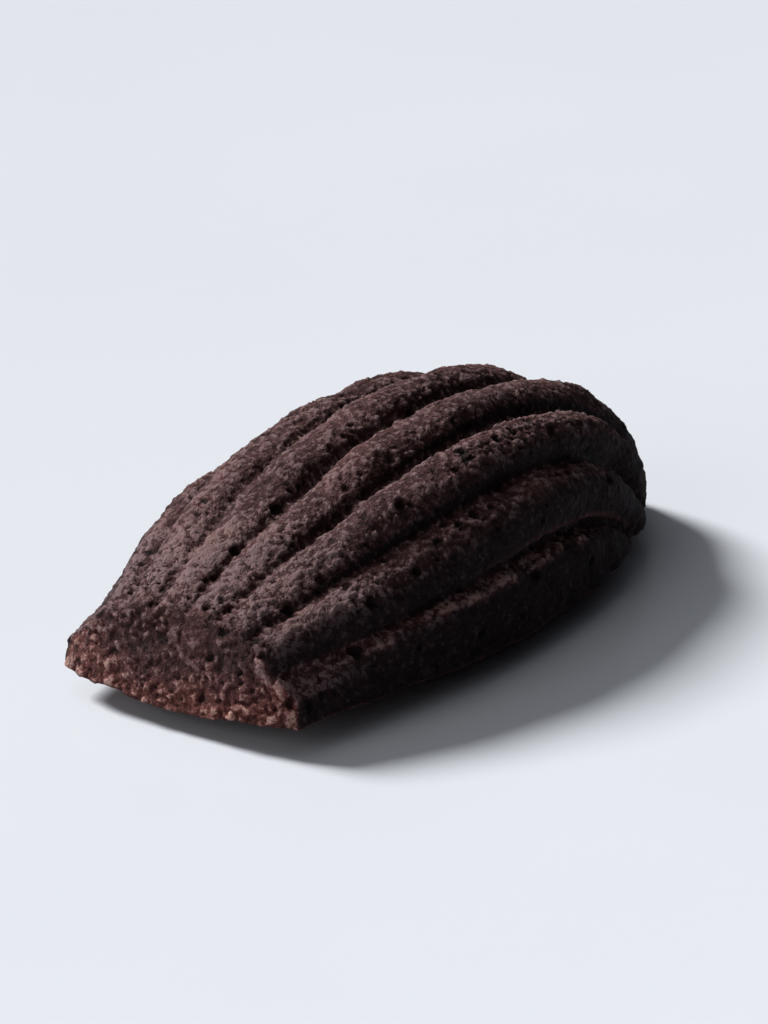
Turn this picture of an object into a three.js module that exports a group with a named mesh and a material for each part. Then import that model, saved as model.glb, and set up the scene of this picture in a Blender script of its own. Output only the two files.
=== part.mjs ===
// Chocolate madeleine: a shell-shaped sponge cake of one piece.
//
// Millimetres, +Z up. The cake lies on its domed baked side with the ribbed
// shell on top. Its length runs along X, from the narrow planed heel at -X to
// the wide scalloped end at +X. The origin is the middle of the bottom of the
// cake's bounding box.
//
// The shell is a row of half superellipses standing on the rim, one at each
// station along the length. Rounded ribs run along it, with narrow valleys
// between them at equal angles round the section. Past the middle the ribs fan
// out and run off the shell one after another, the lowest pair first, so that
// each valley crosses the wide end and notches its edge.

import * as THREE from 'three';
import { mergeVertices } from 'three/addons/utils/BufferGeometryUtils.js';

// Overall sizes
const LENGTH = 82.2;            // heel edge to wide tip, along the rim
const HEEL_HALF_WIDTH = 17;     // rim half width at the heel
const MAX_HALF_WIDTH = 22.8;    // rim half width at the widest station
const WIDEST_AT = 35;           // distance of the widest station from the heel
const SHELL_HEIGHT = 21.3;      // top of the shell above the rim
const HIGHEST_AT = 44;          // distance of the highest station from the heel
const HEEL_HEIGHT = 10.6;       // height of the planed heel above the rim
const RIM_HEIGHT = 3.2;         // how far the domed underside lifts the rim

// Roundness, as exponents: 2 is an ellipse, more is squarer
const SECTION_POWER = 2.4;      // cross-sections of the shell
const END_POWER = 2.1;          // plan outline and crest line of the wide end

// Ribs
const RIB_COUNT = 8;
const VALLEY_DEPTH = 1.8;       // at the widest station, less where it is narrow
const VALLEY_SHARPNESS = 0.55;  // below 1 the ribs are full and the valleys narrow
const RIM_NOTCH_SHARE = 0.5;    // how much of the valley's depth reaches the rim
const NOTCH_FADE_HEIGHT = 5;    // height above the rim where valleys are full
const HEEL_NOTCH_SHARE = 0.45;  // how much of the depth the valleys have at the heel
const HEEL_NOTCH_REACH = 42;    // distance from the heel where valleys are full
const FAN_FROM = 42;            // distance from the heel where the ribs fan out
const FAN_POWER = 2.8;          // how late the ribs run off the wide end

// Heel
const HEEL_LEAN = 0.3;          // how far its face leans in for each mm of height
const HEEL_BOW = 2;             // how far the middle of its face stands proud of its corners
const HEEL_BOW_POWER = 5;       // above 2 the face is straight and only its corners turn back
const HEEL_PINCH = 0.1;         // how far its flanks are drawn in, as a share of the width
const HEEL_FOOT = 3.2;          // height above the rim from which they are drawn in
const HEEL_REACH = 24;          // length over which lean, bow and pinch die away

// Underside
const REST_SHARE = 0.36;        // size of the flat spot, as a share of the outline
const REST_CENTRE = 40;         // distance of its middle from the heel
const FRONT_REACH = 46;         // reach of the belly towards the heel
const UNDERSIDE_POWER = 1.6;    // how the belly rises to the rim

// Mesh steps
const STATIONS = 34;
const STATION_POWER = 1.7;
const STEPS_PER_RIB = 8;
const UNDERSIDE_STEPS = 12;
const SLOPE_STEP = 1e-3;        // for measuring the direction of the surface
const MERGE_DISTANCE = 1e-3;
const TINY = 1e-9;              // keeps a section of no size from dividing by zero

const COCOA_CRUST = new THREE.MeshStandardMaterial({
  color: 0x3a2723, roughness: 0.85, metalness: 0,
});

const clamp01 = (value) => Math.min(Math.max(value, 0), 1);

// Rises from first at the heel to peak at peakAt, then rounds down to 0 at the tip.
function swell(along, first, peak, peakAt) {
  if (along < peakAt) {
    return first + (peak - first) * Math.sin((Math.PI / 2) * (along / peakAt));
  }
  const past = clamp01((along - peakAt) / (LENGTH - peakAt));
  return peak * (1 - past ** END_POWER) ** (1 / END_POWER);
}

const halfWidth = (along) => swell(along, HEEL_HALF_WIDTH, MAX_HALF_WIDTH, WIDEST_AT);
const crestHeight = (along) => swell(along, HEEL_HEIGHT, SHELL_HEIGHT, HIGHEST_AT);

// Distance from the heel at a share of the way along, and back. Even shares give
// steps that shrink towards the wide tip, where the outline turns fastest.
const stationAt = (share) => LENGTH * (1 - (1 - share) ** STATION_POWER);
const shareAt = (along) => 1 - (1 - along / LENGTH) ** (1 / STATION_POWER);

// Point of the plain shell, without ribs. Height is above the rim, and the
// angle goes round the section from the left rim (0) to the right rim (PI).
function plainShell(share, angle) {
  const along = stationAt(share);
  const across = Math.abs(Math.cos(angle)) / Math.max(halfWidth(along), TINY);
  const up = Math.sin(angle) / Math.max(crestHeight(along), TINY);
  const radius = (across ** SECTION_POWER + up ** SECTION_POWER) ** (-1 / SECTION_POWER);
  return new THREE.Vector3(along, radius * Math.cos(angle), radius * Math.sin(angle));
}

// Outward direction of the plain shell.
function shellNormal(share, angle) {
  if (share > 1 - 2 * SLOPE_STEP) return new THREE.Vector3(1, 0, 0);
  const a0 = Math.max(angle - SLOPE_STEP, 0);
  const a1 = Math.min(angle + SLOPE_STEP, Math.PI);
  const s0 = Math.max(share - SLOPE_STEP, 0);
  const round = plainShell(share, a1).sub(plainShell(share, a0));
  const length = plainShell(share + SLOPE_STEP, angle).sub(plainShell(s0, angle));
  return round.cross(length).normalize();
}

// How many ribs have run off each side of the shell by this distance.
function ribsGone(along) {
  const past = clamp01((along - FAN_FROM) / (LENGTH - FAN_FROM));
  return (RIB_COUNT / 2) * past ** FAN_POWER;
}

// Distance from the heel where a rib runs off the shell.
function runOffAt(rib) {
  const fromSide = Math.min(rib, RIB_COUNT - rib) / (RIB_COUNT / 2);
  return FAN_FROM + (LENGTH - FAN_FROM) * fromSide ** (1 / FAN_POWER);
}

// The ribs are numbered round the section from 0 at the left rim, so that whole
// numbers are valleys and halves are the backs of ribs. This gives the angle
// round the section at which a rib lies.
function angleOfRib(along, rib) {
  const gone = ribsGone(along);
  const left = RIB_COUNT - 2 * gone;
  return left < TINY ? Math.PI / 2 : Math.PI * clamp01((rib - gone) / left);
}

// How deep the shell is sunk: 0 on the back of a rib, 1 in a valley. The outer
// halves of the two lowest ribs run straight down to the rim.
function valley(point, rib) {
  if (rib < 0.5 || rib > RIB_COUNT - 0.5) return 0;
  const fullness = Math.abs(Math.sin(Math.PI * rib)) ** VALLEY_SHARPNESS;
  const overRim = clamp01(point.z / NOTCH_FADE_HEIGHT);
  const pastHeel = clamp01(point.x / HEEL_NOTCH_REACH);
  return (1 - fullness)
    * THREE.MathUtils.lerp(RIM_NOTCH_SHARE, 1, overRim)
    * THREE.MathUtils.lerp(HEEL_NOTCH_SHARE, 1, pastHeel);
}

// Bow of the heel's face at a share of the way from its middle to its corner.
const bowAt = (offCentre) => HEEL_BOW * (1 - clamp01(offCentre) ** HEEL_BOW_POWER);

// Leans the heel's face in and bows it, and draws in the flanks between their
// upright foot and the crest.
function shapeHeel(point) {
  const nearness = clamp01(1 - point.x / HEEL_REACH) ** 2;
  const bow = bowAt(Math.abs(point.y) / HEEL_HALF_WIDTH);
  const up = clamp01((point.z - HEEL_FOOT) / (HEEL_HEIGHT - HEEL_FOOT));
  point.x += nearness * (HEEL_LEAN * point.z - bow);
  point.y *= 1 - nearness * HEEL_PINCH * 4 * up * (1 - up);
  return point;
}

// Point of the finished shell on a rib, part of the way from the heel (0) to
// where the rib runs off the shell (1), which is on the rim.
function shellPoint(rib, part) {
  const share = shareAt(runOffAt(rib)) * part;
  const angle = angleOfRib(stationAt(share), rib);
  const point = plainShell(share, angle);
  const size = halfWidth(Math.min(point.x, WIDEST_AT)) / MAX_HALF_WIDTH;
  const sunk = VALLEY_DEPTH * size * valley(point, rib);
  point.addScaledVector(shellNormal(share, angle), -sunk);
  if (part === 1) point.z = 0;
  return shapeHeel(point);
}

// Height of the underside, below a point that lies side of the way from the
// middle line (0) to the rim (1). It is flat in the middle and domed round it.
function undersideHeight(along, side) {
  const reach = along < REST_CENTRE ? FRONT_REACH : LENGTH - REST_CENTRE;
  const spread = Math.min(Math.hypot(side, (along - REST_CENTRE) / reach), 1);
  const rise = clamp01((spread - REST_SHARE) / (1 - REST_SHARE));
  return RIM_HEIGHT * (rise ** UNDERSIDE_POWER - 1);
}

// A row of points over the shell, across all ribs.
function shellRow(part) {
  const steps = RIB_COUNT * STEPS_PER_RIB;
  return Array.from({ length: steps + 1 }, (_, i) => shellPoint(i / STEPS_PER_RIB, part));
}

// The left rim, from the heel's corner to the wide tip. It is the lowest rib's
// side first, and then the points where one rib after another runs off.
function leftRim() {
  const side = Array.from({ length: STATIONS }, (_, i) => {
    const part = i / STATIONS;
    return { along: stationAt(shareAt(FAN_FROM) * part), point: shellPoint(0, part) };
  });
  const steps = (RIB_COUNT / 2) * STEPS_PER_RIB;
  const end = Array.from({ length: steps + 1 }, (_, i) => {
    const rib = i / STEPS_PER_RIB;
    return { along: runOffAt(rib), point: shellPoint(rib, 1) };
  });
  return [...side, ...end];
}

// A row of points under the cake, from a point of the left rim to its mirror
// image on the right rim.
function undersideRow({ along, point: left }) {
  return Array.from({ length: UNDERSIDE_STEPS + 1 }, (_, i) => {
    const across = 1 - (2 * i) / UNDERSIDE_STEPS;
    const side = Math.abs(across);
    const height = side === 1 ? 0 : undersideHeight(along, side);
    const point = new THREE.Vector3(left.x, left.y * across, height);
    if (along === 0) point.x += HEEL_LEAN * height - bowAt(side);
    return point;
  });
}

// Fills the strip between two rows that share their ends, however many points
// each has, always stepping forward on the row that lags behind.
function addStrip(triangles, rowA, rowB) {
  let a = 0;
  let b = 0;
  while (a < rowA.length - 1 || b < rowB.length - 1) {
    const stepA = (a + 1) / (rowA.length - 1);
    const stepB = (b + 1) / (rowB.length - 1);
    if (stepA <= stepB) {
      triangles.push(rowA[a], rowB[b], rowA[a + 1]);
      a += 1;
    } else {
      triangles.push(rowA[a], rowB[b], rowB[b + 1]);
      b += 1;
    }
  }
}

// Joins points that coincide and drops the triangles that this flattens.
function closedGeometry(triangles) {
  const loose = new THREE.BufferGeometry().setFromPoints(triangles);
  const merged = mergeVertices(loose, MERGE_DISTANCE);
  const corners = merged.index.array;
  const kept = [];
  for (let i = 0; i < corners.length; i += 3) {
    const [a, b, c] = corners.slice(i, i + 3);
    if (a !== b && b !== c && c !== a) kept.push(a, b, c);
  }
  merged.setIndex(kept);
  return merged;
}

function cakeGeometry() {
  const triangles = [];
  const shell = Array.from({ length: STATIONS + 1 }, (_, i) => shellRow(i / STATIONS));
  const underside = leftRim().map(undersideRow);
  for (let i = 1; i < shell.length; i += 1) addStrip(triangles, shell[i], shell[i - 1]);
  for (let i = 1; i < underside.length; i += 1) {
    addStrip(triangles, underside[i - 1], underside[i]);
  }
  addStrip(triangles, shell[0], underside[0]);

  const geometry = closedGeometry(triangles);
  geometry.computeBoundingBox();
  const { min, max } = geometry.boundingBox;
  geometry.translate(-(min.x + max.x) / 2, -(min.y + max.y) / 2, -min.z);
  geometry.computeVertexNormals();
  return geometry;
}

const cake = new THREE.Mesh(cakeGeometry(), COCOA_CRUST);
cake.name = 'madeleine_cake';

const madeleine = new THREE.Group();
madeleine.add(cake);

export default madeleine;
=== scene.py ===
"""A chocolate madeleine: a small shell-shaped sponge cake, lying on its domed baked side.

Metres, +Z up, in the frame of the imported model: the narrow planed heel is at -X, the wide scalloped
end at +X, and the surface that the cake lies on is z = 0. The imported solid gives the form. It is meshed
evenly and finely, and its facets are smoothed away. Then the valleys between the ribs are cut again, and
unevenness, a crumbly ledge, crumb and pores are moved into the mesh itself.

The named sizes of the shape are in millimetres. A pair of numbers is the two ends of a soft change, none
of it at the first and all of it at the second, or two limits where its name says so. Three numbers for a
noise are its size, its octaves and a shift that keeps it unlike the others. An evening is the number of
rounds in which directions or values are averaged with their neighbours'.
"""

import math

import bpy
import numpy as np
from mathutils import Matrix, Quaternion, Vector, kdtree, noise


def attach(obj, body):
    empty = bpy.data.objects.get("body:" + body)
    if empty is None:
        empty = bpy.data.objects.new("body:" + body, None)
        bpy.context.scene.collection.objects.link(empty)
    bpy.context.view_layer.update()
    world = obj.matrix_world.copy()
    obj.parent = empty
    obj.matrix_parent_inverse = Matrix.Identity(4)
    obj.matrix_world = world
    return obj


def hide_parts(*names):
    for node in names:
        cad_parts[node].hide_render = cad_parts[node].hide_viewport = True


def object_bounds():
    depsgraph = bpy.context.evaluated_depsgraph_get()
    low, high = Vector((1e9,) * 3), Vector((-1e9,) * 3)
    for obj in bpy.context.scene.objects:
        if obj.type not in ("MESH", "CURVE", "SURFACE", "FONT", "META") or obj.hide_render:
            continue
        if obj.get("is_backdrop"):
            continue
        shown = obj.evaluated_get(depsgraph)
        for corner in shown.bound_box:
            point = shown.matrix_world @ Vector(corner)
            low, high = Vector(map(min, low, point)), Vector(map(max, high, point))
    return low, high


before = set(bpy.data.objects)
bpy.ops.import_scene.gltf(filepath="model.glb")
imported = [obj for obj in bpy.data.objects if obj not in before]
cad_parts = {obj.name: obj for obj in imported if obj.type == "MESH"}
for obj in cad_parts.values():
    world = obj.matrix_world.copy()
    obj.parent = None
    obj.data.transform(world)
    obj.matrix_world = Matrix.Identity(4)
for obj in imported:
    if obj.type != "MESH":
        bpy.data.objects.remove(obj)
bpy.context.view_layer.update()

MM = 0.001
CAKE_NODE = "madeleine_cake"

# Form of the shell, as in the solid: distances from the heel
RIB_COUNT = 8
LENGTH = 82.2                 # heel edge to wide tip, along the rim
RIM_HEIGHT = 3.2              # of the rim above the surface
FAN_FROM = 42.0               # where the ribs begin to fan out
FAN_POWER = 2.8               # how late the ribs run off the wide end
HEEL_LEAN = 0.3               # how far the heel's face leans in for each mm of height
HEEL_BOW = 2.0                # how far the middle of its face stands proud of its corners
HEEL_BOW_POWER = 5            # the face is straight and only its corners turn back
HEEL_HALF_WIDTH = 17.0
HEEL_PLANED = 0.35            # how much is planed off the smoothed face, which makes its edge crisp
HEEL_REACH = 24.0             # length over which lean and bow die away

# Mesh
VOXEL = 0.26                  # the size of the mesh's squares before it is thinned out
SMOOTHING = 14                # rounds of smoothing, which take the facets away
SHRINK, SWELL = 0.5, -0.53    # the two halves of a round
MOST_TRIANGLES = 197_000
THINNING = 0.2                # how ready the skin is to be thinned out, from 0 to 1
THINNING_BELOW = 0.4          # how much readier it is underneath
THINNING_STEPS = 10


def added(name, data):
    """A new object in the scene."""
    made = bpy.data.objects.new(name, data)
    bpy.context.scene.collection.objects.link(made)
    return made


def applied(worker):
    """The mesh that an object's modifiers make. The object itself goes."""
    depsgraph = bpy.context.evaluated_depsgraph_get()
    mesh = bpy.data.meshes.new_from_object(worker.evaluated_get(depsgraph))
    bpy.data.objects.remove(worker)
    return mesh


def closed_copy(node, voxel):
    """A new mesh of even squares that follows the node's solid."""
    worker = added("worker", node.data.copy())
    remesh = worker.modifiers.new("even", "REMESH")
    remesh.mode = "VOXEL"
    remesh.voxel_size = voxel
    return applied(worker)


def searchable(points):
    """The points sorted for finding those near a place."""
    tree = kdtree.KDTree(len(points))
    for i, point in enumerate(points):
        tree.insert(Vector(point), i)
    tree.balance()
    return tree


class Skin:
    """The points of a mesh in millimetres, with what is needed to move them."""

    def __init__(self, mesh):
        self.mesh = mesh
        flat = np.empty(len(mesh.vertices) * 3)
        mesh.vertices.foreach_get("co", flat)
        self.points = flat.reshape(-1, 3) / MM
        ends = np.empty(len(mesh.edges) * 2, int)
        mesh.edges.foreach_get("vertices", ends)
        self.edges = ends.reshape(-1, 2)
        self.degree = np.bincount(self.edges.ravel(), minlength=len(self.points))

    def neighbour_mean(self, values):
        """Mean of each point's neighbours, for one value a point or three."""
        a, b = self.edges.T
        columns = values.reshape(len(values), -1).T
        sums = [
            np.bincount(a, column[b], len(values)) + np.bincount(b, column[a], len(values))
            for column in columns
        ]
        return (np.array(sums) / self.degree).T.reshape(values.shape)

    def evened(self, values, rounds):
        """The values after this many rounds of averaging with their neighbours'."""
        for _ in range(rounds):
            values = self.neighbour_mean(values)
        return values

    def smooth(self, rounds):
        """Evens out small steps. Each round swells by what it shrank, so that edges keep their place."""
        for _ in range(rounds):
            for share in (SHRINK, SWELL):
                self.points += share * (self.neighbour_mean(self.points) - self.points)

    def normals(self):
        """Writes the points back to the mesh and reads the directions that they face."""
        self.mesh.vertices.foreach_set("co", (self.points * MM).ravel())
        self.mesh.update()
        flat = np.empty(len(self.points) * 3)
        self.mesh.vertex_normals.foreach_get("vector", flat)
        return flat.reshape(-1, 3)

    def push(self, distance, rounds):
        """Moves each point outward by its own distance, in directions evened first against folding."""
        outward = self.evened(self.normals(), rounds)
        outward /= np.linalg.norm(outward, axis=1)[:, None]
        self.points += outward * distance[:, None]

    def unfold(self, rounds, around, limit):
        """Draws a point in between its neighbours where it faces away from what is around it."""
        for _ in range(rounds):
            facing = self.normals()
            mean = self.evened(facing, around)
            turned = (facing * mean).sum(1) < limit * np.linalg.norm(mean, axis=1)
            self.points[turned] = self.neighbour_mean(self.points)[turned]


def thinned(skin, readiness, values):
    """The skin's mesh with fewer triangles, flat and ready places first, and with values at its points."""
    skin.normals()
    worker = added("worker", skin.mesh)
    group = worker.vertex_groups.new(name="readiness")
    for step in range(1, THINNING_STEPS + 1):
        chosen = np.flatnonzero(np.rint(readiness * THINNING_STEPS) == step)
        group.add(chosen.tolist(), step / THINNING_STEPS, "REPLACE")
    thin = worker.modifiers.new("thin", "DECIMATE")
    thin.ratio = MOST_TRIANGLES / (2 * len(skin.mesh.polygons))
    thin.vertex_group = "readiness"
    mesh = applied(worker)
    tree = searchable(skin.points)
    nearest = np.array([tree.find(v.co / MM)[1] for v in mesh.vertices])
    for name, value in values.items():
        made = mesh.attributes.new(name, "FLOAT", "POINT")
        made.data.foreach_set("value", value[nearest].astype(np.float32))
    return mesh


def blend(value, low, high):
    """0 below low, 1 above high and a soft rise between."""
    t = np.clip((value - low) / (high - low), 0, 1)
    return t * t * (3 - 2 * t)


def raised(share, least):
    """A share from 0 to 1, squeezed to run from this least value to 1."""
    return least + (1 - least) * share


FRACTAL_FADE = 0.9            # how much less each finer octave counts
FRACTAL_STEP = 2.1            # how much finer it is
GRAIN_REACH = 0.75            # how far a grain's round slope reaches, in cells
CELL_SPREAD = 37.0            # far enough apart for neighbouring cells to get unlike chances


def lumps(points, size, octaves, shift):
    """Soft uneven noise, about -1 to 1, whose largest lumps have this size."""
    at = points / size + shift
    return np.array([noise.fractal(Vector(p), FRACTAL_FADE, FRACTAL_STEP, octaves) for p in at])


def warped(points, size, reach):
    """The points moved about at random, so that patterns laid on them lose their regular outlines.

    The noise used here isn't the same in every run, so the single grains and pits differ between runs.
    """
    moves = [noise.noise_vector(Vector(p)) for p in points / size]
    return points + reach * np.array(moves)


def grains(points, size, shift):
    """Packed round grains: how far each point stands up its grain, 0 to 1, and the grain's own chance."""
    away, chance = np.empty(len(points)), np.empty(len(points))
    for i, p in enumerate(points / size + shift):
        distances, centres = noise.voronoi(Vector(p))
        away[i] = distances[0]
        chance[i] = noise.cell(centres[0] * CELL_SPREAD)
    return np.sqrt(np.clip(1 - (away / GRAIN_REACH) ** 2, 0, 1)), chance * 0.5 + 0.5


def rib_numbers(points):
    """Place round the shell: whole numbers are valleys, halves are the backs of ribs, 0 is the +Y rim."""
    height = np.clip(points[:, 2] - RIM_HEIGHT, 0, None)
    heel = points[:, 0].min() + HEEL_BOW
    along = points[:, 0] - heel
    lean = np.clip(1 - along / HEEL_REACH, 0, 1) ** 2
    along = np.clip(along - lean * (HEEL_LEAN * height - HEEL_BOW), 0, LENGTH)
    past = np.clip((along - FAN_FROM) / (LENGTH - FAN_FROM), 0, 1)
    gone = RIB_COUNT / 2 * past ** FAN_POWER
    angle = np.arctan2(height, points[:, 1])
    return gone + angle / math.pi * (RIB_COUNT - 2 * gone), along, height


# Zones, by how squarely the surface faces -X, down or up
HEEL_FACING = (0.75, 0.93)
UNDER_FACING = (0.2, 0.6)
TOP_FACING = (0.35, 0.85)
SIDE_ENDS = (0.4, 0.88)       # up again: from here on it is top and no longer side
WANDER = 0.09                 # how far the valleys stray, in ribs
WANDER_NOISE = (14.0, 2, 3.1)


class Zones:
    """Where each point of the smoothed skin lies: in mm, in ribs, or as shares from 0 to 1."""

    def __init__(self, skin):
        facing = skin.normals()
        ribs, self.along, self.height = rib_numbers(skin.points)
        self.heel_face = blend(-facing[:, 0], *HEEL_FACING)
        self.underside = blend(-facing[:, 2], *UNDER_FACING)
        self.on_top = blend(facing[:, 2], *TOP_FACING)
        self.shell = (1 - self.heel_face) * (1 - self.underside)
        self.side = self.shell * (1 - blend(facing[:, 2], *SIDE_ENDS))
        ribs += WANDER * lumps(skin.points, *WANDER_NOISE) * self.shell
        self.ribs_up = np.minimum(ribs, RIB_COUNT - ribs)
        self.crest = np.abs(np.sin(math.pi * ribs))


# Valleys, cut again after the smoothing
VALLEY_CUT = 0.78
VALLEY_SHARPNESS = 0.62       # the lower, the narrower the valleys
VALLEY_EVENING = 14
FIRST_VALLEY = (0.45, 0.8)    # ribs up from the rim, below which nothing is cut
PATCHY = 0.9                  # how much the depth changes from place to place
PATCHY_LIMITS = (0.1, 1.8)
PATCHY_NOISE = (9.0, 2, 8.7)
BY_HEEL = (4, 40)             # from the heel, where the valleys become full
BY_HEEL_DEPTH = 0.35          # what they start with
BY_RIM = (0, 5)               # the same for the height above the rim
BY_RIM_DEPTH = 0.45
AT_WIDE_END = (60, 76)
WIDE_END_EXTRA = 0.5


def cut_valleys(skin, zones):
    """Cuts the valleys: unevenly deep, fainter by the heel and the rim, and deeper at the wide end."""
    valley = 1 - zones.crest ** VALLEY_SHARPNESS
    valley *= blend(zones.ribs_up, *FIRST_VALLEY) * zones.shell
    depth = VALLEY_CUT * np.clip(PATCHY + PATCHY * lumps(skin.points, *PATCHY_NOISE), *PATCHY_LIMITS)
    depth *= raised(blend(zones.along, *BY_HEEL), BY_HEEL_DEPTH)
    depth *= raised(blend(zones.height, *BY_RIM), BY_RIM_DEPTH)
    depth *= 1 + WIDE_END_EXTRA * blend(zones.along, *AT_WIDE_END)
    skin.push(-depth * valley, VALLEY_EVENING)
    return valley


UNEVEN = 0.6
UNEVEN_NOISE = (10.0, 3, 1.3)
UNEVEN_EVENING = 45
HEEL_FACE_CALM = 0.6          # how much of the unevenness the heel's face is spared


def make_uneven(skin, zones):
    """Pushes the whole skin in and out softly, so that no two ribs stand equally high."""
    calmer = 1 - HEEL_FACE_CALM * zones.heel_face
    skin.push(UNEVEN * lumps(skin.points, *UNEVEN_NOISE) * calmer, UNEVEN_EVENING)


def plane_heel(skin):
    """Cuts the heel's face flat, with its corners turned back."""
    x, y, z = skin.points.T
    bow = HEEL_BOW * (1 - np.clip(np.abs(y) / HEEL_HALF_WIDTH, 0, 1) ** HEEL_BOW_POWER)
    corner = skin.points[:, 0].min() + HEEL_BOW
    face = corner + HEEL_LEAN * (z - RIM_HEIGHT) - bow + HEEL_PLANED
    skin.points[:, 0] = np.maximum(x, face)


LEDGE_HEIGHT = 0.4
LEDGE_PLACE = 0.83            # ribs up from the rim
LEDGE_WIDTH = 0.075           # in ribs
LEDGE_STARTS = (3, 12)
LEDGE_ENDS = (46, 62)
LEDGE_NOISE = (2.5, 2, 7.4)
LEDGE_BREAKS = (-0.45, 0.45)
LEDGE_EVENING = 6


def raise_ledge(skin, zones):
    """Raises a broken, crumbly ledge along the crest of the lowest rib on each side."""
    ledge = np.exp(-((zones.ribs_up - LEDGE_PLACE) / LEDGE_WIDTH) ** 2) * zones.shell
    ledge *= blend(zones.along, *LEDGE_STARTS) * (1 - blend(zones.along, *LEDGE_ENDS))
    ledge *= blend(lumps(skin.points, *LEDGE_NOISE), *LEDGE_BREAKS)
    skin.push(LEDGE_HEIGHT * ledge, LEDGE_EVENING)
    return ledge


CORNER_EVENING = 30
CORNER_FROM = (7, 12)         # out from the middle of the heel's face


def heel_corners(skin, zones):
    """The two upright corners of the heel's face, 1 where the face has half turned into the shell."""
    edge = skin.evened(zones.heel_face, CORNER_EVENING)
    aside = blend(np.abs(skin.points[:, 1]), *CORNER_FROM)
    return 4 * edge * (1 - edge) * aside * (1 - zones.underside)


FOOT_TOP = (-1.0, 5.5)
FOOT_RISE = 6.5               # how much higher the foot reaches at the corners
FOOT_RISE_POWER = 3
FOOT_RAGGED = 1.6
FOOT_NOISE = (3.0, 2, 4.1)


def heel_foot(skin, zones):
    """The foot of the heel, a rough warm-coloured crumb that reaches higher at the corners."""
    aside = np.abs(skin.points[:, 1] / HEEL_HALF_WIDTH)
    foot = zones.height - FOOT_RISE * aside ** FOOT_RISE_POWER
    foot += FOOT_RAGGED * lumps(skin.points, *FOOT_NOISE)
    return zones.heel_face * (1 - blend(foot, *FOOT_TOP))


OPEN_EVERYWHERE = 0.3
OPEN_ON_TOP = 0.5
OPEN_HEEL_FACE = 0.4
OPEN_FOOT = 0.5
OPEN_LEDGE = 0.4
CLOSED_UNDERSIDE = 0.1
OPEN_CHANGE = 0.5
OPEN_NOISE = (5.0, 2, 5.2)
OPEN_LIMITS = (0.1, 1.5)


def open_crumb(skin, zones, foot, ledge):
    """How coarse the crumb is. Sides that lay against the mould are smoother than top and heel."""
    amount = OPEN_EVERYWHERE + OPEN_ON_TOP * zones.on_top + OPEN_HEEL_FACE * zones.heel_face
    amount += OPEN_FOOT * foot + OPEN_LEDGE * ledge - CLOSED_UNDERSIDE * zones.underside
    return np.clip(amount + OPEN_CHANGE * lumps(skin.points, *OPEN_NOISE), *OPEN_LIMITS)


# Crumb. A level is taken off, so that clumps and grains neither swell nor shrink the cake
CRUMB_WARP, CRUMB_WARP_SIZE = 0.35, 0.7
CLUMP_SIZE, CLUMP_SHIFT = 1.5, 4.0
CLUMP_HEIGHT, CLUMP_LEAST, CLUMP_LEVEL = 0.08, 0.3, 0.45
GRAIN_SIZE, GRAIN_SHIFT = 0.7, 0.0
GRAIN_HEIGHT, GRAIN_LEAST, GRAIN_LEVEL = 0.24, 0.1, 0.35
GRAIN_POWER = 1.5             # above 1, few grains stand high
FINE_HEIGHT = 0.14
FINE_NOISE = (0.9, 3, 2.2)
PIT_DEPTH = 0.13
SMALL_PITS = ((0.65, 2, 6.6), (0.3, 0.85))
LARGE_PITS = ((1.2, 2, 9.3), (0.5, 0.9))
ROUGH_NOISE = (7.0, 2, 11.3)
ROUGH_FROM = (0.1, 0.55)
ROUGH_PITS = 1.6              # how much deeper the pits of a rough patch are
ROUGH_RELIEF = 0.3            # and how much higher the whole of its crumb
SMOOTHEST = 0.4               # share of the relief that closed crumb keeps
OPEN_RELIEF = 0.85            # and what open crumb adds to it
CORNER_CLUMPS = (0.2, 0.6)
CORNER_HEIGHT = 0.24
CRUMB_EVENING = 4


def raise_crumb(skin, zones, place, openness, corner):
    """Raises clumps, grains and pits. Returns how high, the grains, and where the corners crumbled."""
    clump, clump_chance = grains(place, CLUMP_SIZE, CLUMP_SHIFT)
    grain, grain_chance = grains(place, GRAIN_SIZE, GRAIN_SHIFT)
    relief = CLUMP_HEIGHT * (clump * raised(clump_chance, CLUMP_LEAST) - CLUMP_LEVEL)
    grain_rise = grain * raised(grain_chance ** GRAIN_POWER, GRAIN_LEAST)
    relief += GRAIN_HEIGHT * (grain_rise - GRAIN_LEVEL)
    relief += FINE_HEIGHT * lumps(place, *FINE_NOISE)
    pit = sum(blend(lumps(place, *pits), *ends) for pits, ends in (SMALL_PITS, LARGE_PITS))
    rough = blend(lumps(skin.points, *ROUGH_NOISE), *ROUGH_FROM) * zones.on_top
    relief -= PIT_DEPTH * pit * (1 + ROUGH_PITS * rough)
    relief *= (SMOOTHEST + OPEN_RELIEF * openness) * (1 + ROUGH_RELIEF * rough)
    crumbled = corner * blend(clump * clump_chance, *CORNER_CLUMPS)
    relief += CORNER_HEIGHT * crumbled
    skin.push(relief, CRUMB_EVENING)
    return relief, grain * grain_chance, crumbled


SEED = 7
PORES = 280
PORE_LIKELY = 0.2             # how likely a pore is, compared with other places; none are underneath
PORE_LIKELY_HEEL = 0.5        # how much more so on the heel's face
PORE_LIKELY_TOP = 0.3         # and on the top
PORE_RADIUS, PORE_RADIUS_SPREAD = 0.3, 0.65
PORE_RADIUS_POWER = 3         # above 1, few pores are large
PORE_DEPTH = 0.6              # in radii
PORE_RAGGED = 0.45
PORE_RAGGED_NOISE = (0.6, 2, 12.9)
PORE_SEARCH = 1.4             # in radii, how far its ragged outline may reach
PORE_EVENING = 6


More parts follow.
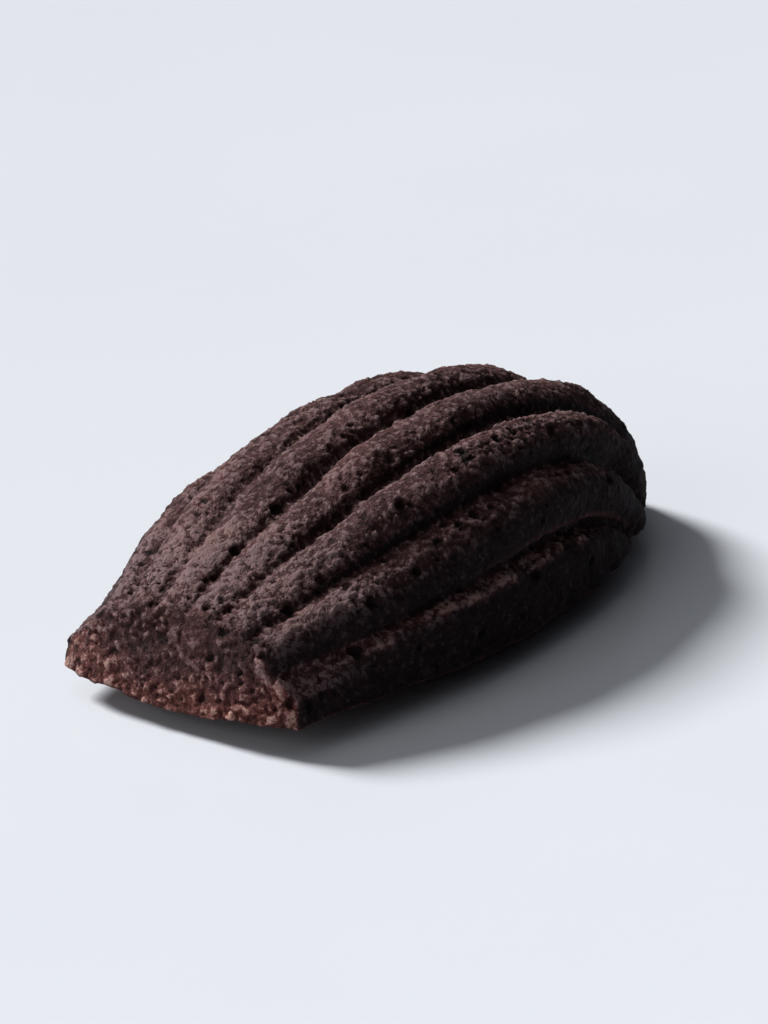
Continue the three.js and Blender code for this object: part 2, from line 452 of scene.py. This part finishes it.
def sink_pores(skin, zones, place):
    """Sinks scattered pores, ragged in outline. Returns how deep."""
    likely = PORE_LIKELY + PORE_LIKELY_HEEL * zones.heel_face + PORE_LIKELY_TOP * zones.on_top
    likely *= 1 - zones.underside
    chances = np.random.default_rng(SEED)
    starts = chances.choice(len(place), PORES, p=likely / likely.sum())
    ragged = 1 + PORE_RAGGED * lumps(place, *PORE_RAGGED_NOISE)
    tree = searchable(place)
    depth = np.zeros(len(place))
    for start in starts:
        radius = PORE_RADIUS + PORE_RADIUS_SPREAD * chances.random() ** PORE_RADIUS_POWER
        for _, i, distance in tree.find_range(Vector(place[start]), radius * PORE_SEARCH):
            inward = 1 - (distance / (radius * ragged[i])) ** 2
            depth[i] = max(depth[i], radius * PORE_DEPTH * inward)
    skin.push(-depth, PORE_EVENING)
    return depth


UNFOLDING = 6                 # rounds of unfolding
UNFOLD_AROUND = 12            # rounds of averaging that give what is around a point
UNFOLD_LIMIT = 0.35
# Where glints are painted on the rib backs above the heel, whose crumb is also partly paler
GLINTS_START = (0.5, 4)      # from the heel
GLINTS_END = (8, 22)
GLINT_CREST = (0.2, 0.8)     # from the valleys to the backs of the ribs
CORNER_AS_FOOT = 0.55         # how far crumbled corners share the foot's warm colour
FULL_RELIEF = 0.4             # height of crumb that takes the material from dark to pale, as painted shade in hollows and painted light on raised crumb
RELIEF_LEVEL = 0.6            # what the material gets for crumb that stands neither up nor down
FULL_PORE = 0.3               # depth at which a pore's painted shade is as dark as it gets


def build_crust():
    """The cake's mesh, with what its material needs to know about each point."""
    skin = Skin(closed_copy(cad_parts[CAKE_NODE], VOXEL * MM))
    skin.smooth(SMOOTHING)
    zones = Zones(skin)

    valley = cut_valleys(skin, zones)
    make_uneven(skin, zones)
    plane_heel(skin)
    ledge = raise_ledge(skin, zones)

    foot = heel_foot(skin, zones)
    openness = open_crumb(skin, zones, foot, ledge)
    place = warped(skin.points, CRUMB_WARP_SIZE, CRUMB_WARP)
    relief, grain, corner = raise_crumb(skin, zones, place, openness, heel_corners(skin, zones))
    pore = sink_pores(skin, zones, place)
    skin.unfold(UNFOLDING, UNFOLD_AROUND, UNFOLD_LIMIT)
    skin.points[:, 2] = np.maximum(skin.points[:, 2], 0)

    # Rib starts above the heel face get painted glints on their backs; their crumb is also partly paler
    near_heel = blend(zones.along, *GLINTS_START) * (1 - blend(zones.along, *GLINTS_END))
    near_heel *= zones.on_top * zones.shell * blend(zones.crest, *GLINT_CREST)
    values = {
        "relief": np.clip(relief / FULL_RELIEF + RELIEF_LEVEL, 0, 1),
        "pore": np.clip(pore / FULL_PORE, 0, 1),
        "valley": valley,
        "grain": grain,
        "ledge": ledge,
        "side": zones.side,
        "heel": zones.heel_face,
        "low_heel": np.maximum(foot, CORNER_AS_FOOT * corner),
        "near_heel": near_heel,
        "corner": corner,
        "underside": zones.underside,
    }
    mesh = thinned(skin, THINNING + THINNING_BELOW * zones.underside, values)
    mesh.shade_smooth()
    return mesh


class Nodes:
    """Short calls for building a material."""

    def __init__(self, name, roughness, specular):
        self.material = bpy.data.materials.new(name)
        self.material.use_nodes = True
        self.tree = self.material.node_tree
        self.shader = self.tree.nodes["Principled BSDF"]
        self.shader.inputs["Roughness"].default_value = roughness
        self.shader.inputs["Specular IOR Level"].default_value = specular

    def add(self, kind, **settings):
        made = self.tree.nodes.new("ShaderNode" + kind)
        for key, value in settings.items():
            setattr(made, key, value)
        return made

    def link(self, out, into):
        self.tree.links.new(out, into)

    def give(self, sockets, values):
        """Sets each socket to its value: a number, a colour or another node's output."""
        for socket, value in zip(sockets, values):
            if isinstance(value, (int, float)):
                socket.default_value = value
            elif isinstance(value, tuple):
                socket.default_value = (*value, 1)
            else:
                self.link(value, socket)

    def attribute(self, name):
        return self.add("Attribute", attribute_name=name).outputs["Fac"]

    def pattern(self, kind, size, out, place=None, **inputs):
        """A procedural pattern in the object's own metres, with features about this many mm across."""
        made = self.add("Tex" + kind)
        self.link(place or self.add("TexCoord").outputs["Object"], made.inputs["Vector"])
        made.inputs["Scale"].default_value = 1 / (size * MM)
        for key, value in inputs.items():
            made.inputs[key].default_value = value
        return made.outputs[out]

    def ragged_place(self, size, reach):
        """The object's own metres, moved about by this many mm so that patterns lose their clean edges."""
        made = self.add("VectorMath", operation="MULTIPLY_ADD")
        self.link(self.pattern("Noise", size, "Color", Detail=2.0), made.inputs[0])
        made.inputs[1].default_value = (reach * MM,) * 3
        self.link(self.add("TexCoord").outputs["Object"], made.inputs[2])
        return made.outputs[0]

    def math(self, operation, a, b):
        made = self.add("Math", operation=operation)
        self.give(made.inputs, (a, b))
        return made.outputs[0]

    def times(self, a, b):
        return self.math("MULTIPLY", a, b)

    def weighted(self, terms):
        """The sum of values, each times its own weight."""
        total = 0.0
        for value, weight in terms:
            total = self.math("ADD", total, self.times(value, weight))
        return total

    def ramp(self, factor, stops):
        made = self.add("ValToRGB")
        elements = made.color_ramp.elements
        while len(elements) < len(stops):
            elements.new(0.5)
        for element, (place, colour) in zip(elements, stops):
            element.position = place
            element.color = (*colour, 1)
        self.link(factor, made.inputs[0])
        return made.outputs[0]

    def mix(self, factor, a, b, blend_type="MIX"):
        made = self.add("Mix", data_type="RGBA", blend_type=blend_type)
        self.give((made.inputs[0], made.inputs[6], made.inputs[7]), (factor, a, b))
        return made.outputs[2]

    def tinted(self, colour, tint):
        return self.mix(1.0, colour, tint, "MULTIPLY")

    def bump(self, height, distance):
        made = self.add("Bump")
        made.inputs["Strength"].default_value = 1.0
        made.inputs["Distance"].default_value = distance * MM
        self.link(height, made.inputs["Height"])
        self.link(made.outputs[0], self.shader.inputs["Normal"])


BLACK = (0.0, 0.0, 0.0)
WHITE = (1.0, 1.0, 1.0)
# The darkest stop is painted shade in pits and hollows
PIT = (0.011, 0.003, 0.003)
DARK_CRUMB = (0.029, 0.009, 0.0089)
CRUMB = (0.072, 0.0256, 0.0256)
# The palest stop is paler crumb and partly a painted highlight, near grey like a glint
PALE_GRAIN_AND_GLINT = (0.2, 0.124, 0.126)
CRUMB_STOPS = [(0.21, PIT), (0.44, DARK_CRUMB), (0.69, CRUMB), (0.91, PALE_GRAIN_AND_GLINT)]
MOTTLE_STOPS = [(0.45, BLACK), (0.65, WHITE)]
BROWNER_TINT = (1.06, 1.0, 0.93)
WARM_TINT = (2.6, 2.45, 2.1)
# Painted shade for the flanks, darker and bluer; partly a darker crust where they lay against the mould
SIDE_SHADE_TINT = (0.235, 0.275, 0.35)

SPECKLE_SIZE = 0.6
FINE_SIZE = 0.3
MOTTLE_SIZE = 7.0
RAGGED_SIZE, RAGGED_REACH = 0.5, 1.1
# Strength and sharpness of the glints painted by the heel
GLINT_GAIN, GLINT_POWER = 1.1, 2.0
UNDERSIDE_TONE, UNDERSIDE_EVENNESS = 0.64, 0.6
LEDGE_WARMTH = 0.35
BUMP_GAPS, BUMP_DISTANCE = 0.8, 0.3


def cocoa_crumb():
    """Dark cocoa crumb with pale and dark grains, with painted shade in hollows, pores, valleys and on the
    flanks, and painted highlights on raised crumb, the ledge and the rib starts by the heel. Its tone, 0
    to 1, picks a colour from pit to pale.
    """
    m = Nodes("cocoa_crumb", roughness=0.75, specular=0.17)
    place = m.ragged_place(RAGGED_SIZE, RAGGED_REACH)
    speckle = m.pattern("Voronoi", SPECKLE_SIZE, "Color", place, Randomness=1.0)
    gaps = m.pattern("Voronoi", SPECKLE_SIZE, "Distance", place, Randomness=1.0)
    fine = m.pattern("Noise", FINE_SIZE, "Fac", Detail=4.0, Roughness=0.7)
    mottle = m.pattern("Noise", MOTTLE_SIZE, "Fac", Detail=4.0, Roughness=0.6)
    ledge, side = m.attribute("ledge"), m.attribute("side")
    sparkle = m.times(m.math("POWER", speckle, GLINT_POWER), GLINT_GAIN)
    heel_glints = m.times(m.attribute("near_heel"), sparkle)
    tone = m.weighted([
        # Raised crumb and grains painted paler and low crumb darker: painted light and painted shade by
        # height
        (m.attribute("relief"), 0.5),
        (m.attribute("grain"), 0.12),
        (speckle, 0.24),
        # Darker in the gaps between grains: painted shade
        (gaps, -0.3),
        (fine, 0.56),
        (mottle, 0.3),
        # Painted shade in the pores
        (m.attribute("pore"), -0.6),
        # Painted shade in the valleys between the ribs
        (m.attribute("valley"), -0.03),
        # Painted shade on the flanks, partly a darker crust
        (side, -0.1),
        (m.attribute("heel"), -0.1),
        (m.attribute("corner"), 0.05),
        # Painted glints on the rib backs above the heel, partly paler crumb
        (heel_glints, 1.0),
        # The ledge is paler: partly paler crumb, partly a painted highlight along its upper edge
        (ledge, 0.3),
    ])
    evenness = m.times(m.attribute("underside"), UNDERSIDE_EVENNESS)
    tone = m.math("ADD", tone, m.times(evenness, m.math("SUBTRACT", UNDERSIDE_TONE, tone)))
    colour = m.ramp(tone, CRUMB_STOPS)
    colour = m.mix(m.ramp(mottle, MOTTLE_STOPS), colour, m.tinted(colour, BROWNER_TINT))
    warmth = m.math("MAXIMUM", m.attribute("low_heel"), m.times(ledge, LEDGE_WARMTH))
    colour = m.mix(warmth, colour, m.tinted(colour, WARM_TINT))
    # Flanks darker and bluer except along the ledge: mostly painted shade, partly a darker crust where
    # they lay against the mould
    shaded_side = m.times(side, m.math("SUBTRACT", 1.0, ledge))
    colour = m.mix(shaded_side, colour, m.tinted(colour, SIDE_SHADE_TINT))
    m.link(colour, m.shader.inputs["Base Color"])
    m.bump(m.math("SUBTRACT", fine, m.times(gaps, BUMP_GAPS)), BUMP_DISTANCE)
    return m.material


FLOOR_STOPS = [(0.3, (0.76, 0.785, 0.83)), (0.7, (0.775, 0.8, 0.845))]
FLOOR_CLOUD_SIZE = 60.0


def pale_floor():
    """A pale, faintly clouded surface with a soft sheen."""
    m = Nodes("pale_floor", roughness=0.16, specular=0.45)
    faint = m.pattern("Noise", FLOOR_CLOUD_SIZE, "Fac", Detail=2.0)
    m.link(m.ramp(faint, FLOOR_STOPS), m.shader.inputs["Base Color"])
    return m.material


def build_floor():
    half = 6.0                # metres, so that its edge stays out of view
    mesh = bpy.data.meshes.new("floor")
    corners = [(-half, -half, 0), (half, -half, 0), (half, half, 0), (-half, half, 0)]
    mesh.from_pydata(corners, [], [(0, 1, 2, 3)])
    floor = added("floor", mesh)
    mesh.materials.append(pale_floor())
    floor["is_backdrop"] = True


def direction(azimuth, elevation):
    """Unit vector from the cake towards a place, by its angles in degrees: azimuth 0 is -Y, 90 is +X."""
    a, e = math.radians(azimuth), math.radians(elevation)
    return Vector((math.sin(a) * math.cos(e), -math.cos(a) * math.cos(e), math.sin(e)))


def aim(thing, away, target=Vector((0, 0, 0)), roll=0.0):
    """Puts a thing this far away from its target and turns it to face the target."""
    thing.location = away + target
    thing.rotation_mode = "QUATERNION"
    turned = Quaternion((0, 0, 1), math.radians(roll))
    thing.rotation_quaternion = (-away).to_track_quat("-Z", "Y") @ turned


LAMP_DISTANCE = 2.0           # metres; a sun lamp shines alike from anywhere, so only its direction counts


def add_light(name, azimuth, elevation, strength, spread):
    """A soft light from far away; spread is how wide it looks from the cake, in degrees."""
    lamp = bpy.data.lights.new(name, "SUN")
    lamp.energy = strength
    lamp.angle = math.radians(spread)
    aim(added(name, lamp), direction(azimuth, elevation) * LAMP_DISTANCE)


CAMERA_AZIMUTH = -52.6        # degrees: over the heel's -Y corner
CAMERA_ELEVATION = 23.2
CAMERA_DISTANCE = 1.2         # metres
CAMERA_ROLL = -1.8
LENS = 360.0


def build_camera():
    low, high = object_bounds()
    data = bpy.data.cameras.new("camera")
    data.lens = LENS
    camera = added("camera", data)
    away = direction(CAMERA_AZIMUTH, CAMERA_ELEVATION) * CAMERA_DISTANCE
    aim(camera, away, (low + high) / 2, CAMERA_ROLL)
    bpy.context.scene.camera = camera


AIR_BRIGHT_SIDE = (-165, 60)  # azimuth and elevation of its middle
AIR_DIM = (0.004, 0.004, 0.005)
AIR_BRIGHT = (0.12, 0.128, 0.145)


def build_world():
    """Dim studio air, brighter towards the side that the lights are on."""
    world = bpy.data.worlds.new("studio")
    world.use_nodes = True
    tree = world.node_tree
    place = tree.nodes.new("ShaderNodeTexCoord")
    lobe = tree.nodes.new("ShaderNodeVectorMath")
    lobe.operation = "DOT_PRODUCT"
    lobe.inputs[1].default_value = direction(*AIR_BRIGHT_SIDE)
    ramp = tree.nodes.new("ShaderNodeValToRGB")
    for element, colour in zip(ramp.color_ramp.elements, (AIR_DIM, AIR_BRIGHT)):
        element.color = (*colour, 1)
    tree.links.new(place.outputs["Generated"], lobe.inputs[0])
    tree.links.new(lobe.outputs["Value"], ramp.inputs[0])
    tree.links.new(ramp.outputs[0], tree.nodes["Background"].inputs["Color"])
    bpy.context.scene.world = world


crust = added("madeleine_crust", build_crust())
crust.data.materials.clear()
crust.data.materials.append(cocoa_crumb())
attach(crust, "root")
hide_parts(CAKE_NODE)

build_floor()
build_world()
build_camera()
add_light("key", azimuth=180, elevation=37, strength=5.0, spread=17)
add_light("fill", azimuth=-105, elevation=22, strength=0.56, spread=50)
add_light("overhead", azimuth=-165, elevation=70, strength=0.22, spread=45)

bpy.context.scene.view_settings.view_transform = "Standard"
